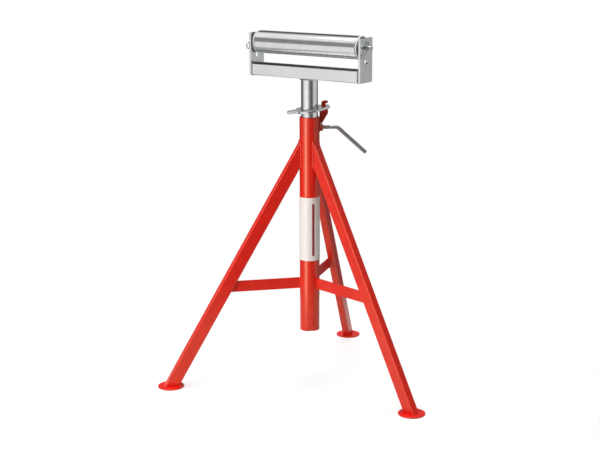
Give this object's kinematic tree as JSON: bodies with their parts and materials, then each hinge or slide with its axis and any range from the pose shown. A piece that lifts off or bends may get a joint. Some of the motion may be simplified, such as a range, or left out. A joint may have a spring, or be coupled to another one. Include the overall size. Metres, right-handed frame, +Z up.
{
  "type": "conveyor roller stand",
  "caption": "Tripod stand with a sliding, swivelling mast, a friction release plate, a bent lock screw and a free roller in a U-shaped head.",
  "frame": {"origin": "on the floor, at the middle of the box round the whole stand", "axes": "+Z up; X along the roller's axle; the post's axis is at x = -55.7 mm, y = -39.0 mm"},
  "size_m": [0.6712, 0.6866, 0.8962],
  "materials": {
    "red_paint": "glossy red paint",
    "zinc_plate": "bright zinc plate",
    "roller_zinc": "bright zinc plate",
    "housing_zinc": "pale zinc plate",
    "bearing_steel": "ground steel",
    "axle_steel": "plain bright steel",
    "clip_wire": "zinc-plated wire",
    "lock_steel": "dull grey steel",
    "plug_plastic": "moulded black",
    "label_film": "plain white film"
  },
  "bodies": {
    "stand": {"post_tube": "red_paint", "leg_front": "red_paint", "foot_front": "red_paint", "brace_front": "red_paint", "weld_leg_front": "red_paint", "leg_left": "red_paint", "foot_left": "red_paint", "brace_left": "red_paint", "weld_leg_left": "red_paint", "leg_back": "red_paint", "foot_back": "red_paint", "brace_back": "red_paint", "weld_leg_back": "red_paint", "hook_bracket": "red_paint", "clamp_nut": "red_paint", "label_wrap": "label_film"},
    "plate": {"release_plate": "zinc_plate"},
    "lock_point": {"lock_screw_tip": "lock_steel"},
    "lock_rod": {"lock_handle": "lock_steel"},
    "carriage": {"mast_end_plug": "plug_plastic"},
    "mast": {"mast_tube": "zinc_plate", "head_channel": "zinc_plate", "ear_left": "zinc_plate", "ear_right": "zinc_plate", "weld_ear_left": "zinc_plate", "weld_ear_right": "zinc_plate", "weld_mast_top": "zinc_plate", "axle": "axle_steel", "clip_left": "clip_wire", "clip_right": "clip_wire", "bearing_hub_left": "bearing_steel", "bearing_hub_right": "bearing_steel"},
    "roller": {"roller_shell": "roller_zinc", "bearing_housing_left": "housing_zinc", "bearing_housing_right": "housing_zinc", "bearing_race_left": "bearing_steel", "bearing_race_right": "bearing_steel"}
  },
  "joints": [
    {"name": "release_plate_hinge", "type": "hinge", "parent": "stand", "child": "plate", "pos_m": [-0.0205, -0.00843, 0.70935], "axis": [-0.6561, 0.7547, 0], "range_deg": [0, 8]},
    {"name": "lock_screw_travel", "type": "slide", "parent": "stand", "child": "lock_point", "axis": [-0.7547, -0.6561, 0], "range_m": [-0.003, 0.0015]},
    {"name": "lock_screw_turn", "type": "hinge", "parent": "lock_point", "child": "lock_rod", "pos_m": [-0.0365, -0.02234, 0.6601], "axis": [-0.7547, -0.6561, 0], "range_deg": [-720, 360]},
    {"name": "mast_slide", "type": "slide", "parent": "stand", "child": "carriage", "axis": [0, 0, 1], "range_m": [-0.0425, 0.394]},
    {"name": "mast_swivel", "type": "hinge", "parent": "carriage", "child": "mast", "pos_m": [-0.05567, -0.03901, 0.1936], "axis": [0, 0, 1], "continuous": true},
    {"name": "roller_spin", "type": "hinge", "parent": "mast", "child": "roller", "pos_m": [-0.05567, -0.03901, 0.8676], "axis": [1, 0, 0], "continuous": true}
  ],
  "couplings": [
    {"joint": "lock_screw_travel", "follows": "lock_screw_turn", "m_per_rad": 0.00023873}
  ]
}
